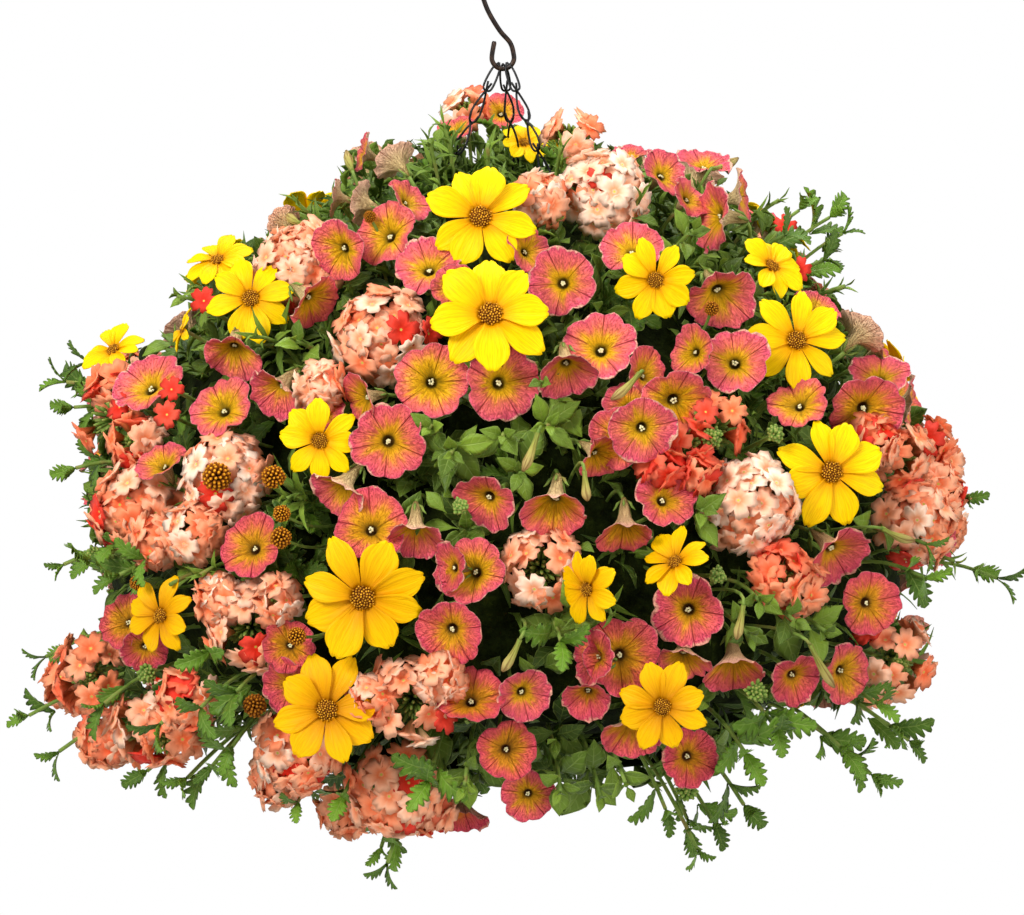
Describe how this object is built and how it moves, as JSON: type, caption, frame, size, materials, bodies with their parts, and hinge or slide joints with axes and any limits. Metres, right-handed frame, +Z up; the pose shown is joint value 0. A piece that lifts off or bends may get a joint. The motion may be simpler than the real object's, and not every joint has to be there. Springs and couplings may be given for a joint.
{
  "type": "petunia hanging basket",
  "caption": "Flowering hanging basket: a pot hidden in a dense dome of petunias, bidens and verbena, hung by wire-link chains from an S-shaped hook.",
  "frame": {"origin": "inside of the top bend of the hook's upper crook, where the hook hangs on its support", "axes": "+Z up, -Y towards the side that the picture shows, +X to that view's right"},
  "size_m": [0.6009, 0.6091, 0.5393],
  "materials": {
    "hook_steel": "dark bronze-brown coated wire",
    "chain_steel": "black coated wire",
    "pot_plastic": "matt dark grey",
    "soil": "damp crumbly potting soil",
    "leaf": "soft matt green leaves and stems",
    "petunia_petal": "velvety coral petals with a yellow star",
    "bidens_petal": "satin yellow grooved petals",
    "verbena_petal": "soft peach and coral florets"
  },
  "bodies": {
    "root": {"bidens_spray_01": "bidens_petal", "bidens_spray_02": "bidens_petal", "bidens_spray_03": "bidens_petal", "bidens_spray_04": "bidens_petal", "bidens_spray_05": "bidens_petal", "bidens_spray_06": "bidens_petal", "bidens_spray_07": "bidens_petal", "bidens_spray_08": "bidens_petal", "bidens_spray_09": "bidens_petal", "bidens_spray_10": "bidens_petal", "bidens_spray_11": "bidens_petal", "bidens_spray_12": "bidens_petal", "chain_left": "chain_steel", "chain_rear": "chain_steel", "chain_right": "chain_steel", "foliage": "leaf", "hook": "hook_steel", "petunia_spray_01": "petunia_petal", "petunia_spray_02": "petunia_petal", "petunia_spray_03": "petunia_petal", "petunia_spray_04": "petunia_petal", "petunia_spray_05": "petunia_petal", "petunia_spray_06": "petunia_petal", "petunia_spray_07": "petunia_petal", "petunia_spray_08": "petunia_petal", "petunia_spray_09": "petunia_petal", "petunia_spray_10": "petunia_petal", "petunia_spray_11": "petunia_petal", "petunia_spray_12": "petunia_petal", "petunia_spray_13": "petunia_petal", "petunia_spray_14": "petunia_petal", "petunia_spray_15": "petunia_petal", "petunia_spray_16": "petunia_petal", "petunia_spray_17": "petunia_petal", "petunia_spray_18": "petunia_petal", "petunia_spray_19": "petunia_petal", "petunia_spray_20": "petunia_petal", "petunia_spray_21": "petunia_petal", "petunia_spray_22": "petunia_petal", "petunia_spray_23": "petunia_petal", "pot": "pot_plastic", "soil": "soil", "verbena_spray_01": "verbena_petal", "verbena_spray_02": "verbena_petal", "verbena_spray_03": "verbena_petal", "verbena_spray_04": "verbena_petal", "verbena_spray_05": "verbena_petal", "verbena_spray_06": "verbena_petal", "verbena_spray_07": "verbena_petal", "verbena_spray_08": "verbena_petal", "verbena_spray_09": "verbena_petal", "verbena_spray_10": "verbena_petal", "verbena_spray_11": "verbena_petal", "verbena_spray_12": "verbena_petal", "verbena_spray_13": "verbena_petal", "verbena_spray_14": "verbena_petal", "verbena_spray_15": "verbena_petal", "verbena_spray_16": "verbena_petal"}
  },
  "joints": []
}
